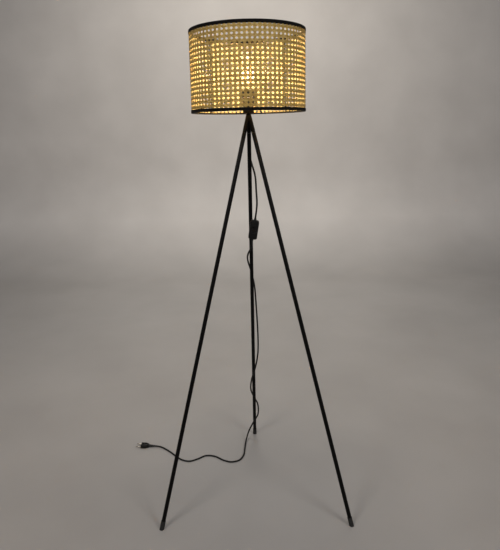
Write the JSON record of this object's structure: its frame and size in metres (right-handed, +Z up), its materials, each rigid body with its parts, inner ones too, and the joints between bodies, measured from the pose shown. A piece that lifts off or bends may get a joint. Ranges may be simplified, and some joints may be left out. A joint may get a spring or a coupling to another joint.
{
  "type": "tripod floor lamp",
  "caption": "Slim black steel tripod floor lamp with an open drum shade of woven cane, a teardrop filament bulb and a black lead with in-line switch and plug.",
  "frame": {"origin": "on the floor, under the middle of the lamp's box measured without its lead", "axes": "+Z up; +Y from the two front legs towards the back leg; +X to the right seen from the front"},
  "size_m": [0.7812, 0.5341, 1.524],
  "materials": {
    "black_steel": "satin black powder coat",
    "zinc_plated_steel": "zinc plated",
    "nickel_brass": "nickel plated, smooth",
    "brass": "plain brass",
    "phenolic": "moulded, dark brown black",
    "steatite": "unglazed",
    "foot_rubber": "matte",
    "cane": "natural rattan cane with a slight sheen",
    "edge_tape": "woven black tape",
    "clear_glass": "clear",
    "filament_phosphor": "yellow phosphor coating, lit",
    "cord_pvc": "smooth black sheath",
    "switch_plastic": "fine moulded texture",
    "plug_plastic": "moulded",
    "soft_grommet": "matte"
  },
  "bodies": {
    "stand": {"tripod_head": "black_steel", "leg_back": "black_steel", "leg_left": "black_steel", "leg_right": "black_steel", "leg_stud_back": "zinc_plated_steel", "leg_stud_left": "zinc_plated_steel", "leg_stud_right": "zinc_plated_steel", "nipple_tube": "zinc_plated_steel", "lock_nut": "zinc_plated_steel", "switch_pivot_pin": "zinc_plated_steel", "switch_screw_top": "zinc_plated_steel", "switch_screw_bottom": "zinc_plated_steel", "plug_pin_left": "nickel_brass", "plug_pin_right": "nickel_brass", "holder_screw_shell": "brass", "holder_contact": "brass", "terminal_screw_live": "brass", "terminal_screw_neutral": "brass", "switch_terminal_top": "brass", "switch_terminal_bottom": "brass", "holder_base": "phenolic", "holder_skirt": "phenolic", "shade_clamp_ring": "phenolic", "holder_insert": "steatite", "foot_cap_back": "foot_rubber", "foot_cap_left": "foot_rubber", "foot_cap_right": "foot_rubber", "cord_upper": "cord_pvc", "cord_lower": "cord_pvc", "switch_cover_front": "switch_plastic", "switch_cover_back": "switch_plastic", "plug_body": "plug_plastic", "cord_bushing": "soft_grommet", "switch_grommet_top": "soft_grommet", "switch_grommet_bottom": "soft_grommet", "plug_relief": "soft_grommet"},
    "shade": {"cane_webbing": "cane", "top_tape": "edge_tape", "bottom_tape": "edge_tape", "frame_hoop_top": "black_steel", "frame_hoop_bottom": "black_steel", "frame_upright_1": "black_steel", "frame_upright_2": "black_steel", "frame_upright_3": "black_steel", "frame_upright_4": "black_steel", "spider_ring": "black_steel", "spider_spoke_1": "black_steel", "spider_spoke_2": "black_steel", "spider_spoke_3": "black_steel"},
    "bulb": {"bulb_glass": "clear_glass", "bulb_screw_cap": "nickel_brass", "bulb_cap_insulator": "phenolic", "bulb_contact": "zinc_plated_steel", "bulb_stem": "clear_glass", "filament_1": "filament_phosphor", "filament_2": "filament_phosphor", "filament_3": "filament_phosphor", "filament_4": "filament_phosphor"},
    "rocker": {"switch_rocker": "switch_plastic"}
  },
  "joints": [
    {"name": "shade_turn", "type": "hinge", "parent": "stand", "child": "shade", "pos_m": [0, -0.08629, 1.3259], "axis": [0, 0, 1], "continuous": true},
    {"name": "bulb_lift", "type": "slide", "parent": "stand", "child": "bulb", "axis": [0, 0, 1], "range_m": [0, 0.055]},
    {"name": "rocker_tilt", "type": "hinge", "parent": "stand", "child": "rocker", "pos_m": [0.0095, -0.01476, 0.90887], "axis": [0.9877, 0.0163, -0.1556], "range_deg": [-14, 0]}
  ]
}
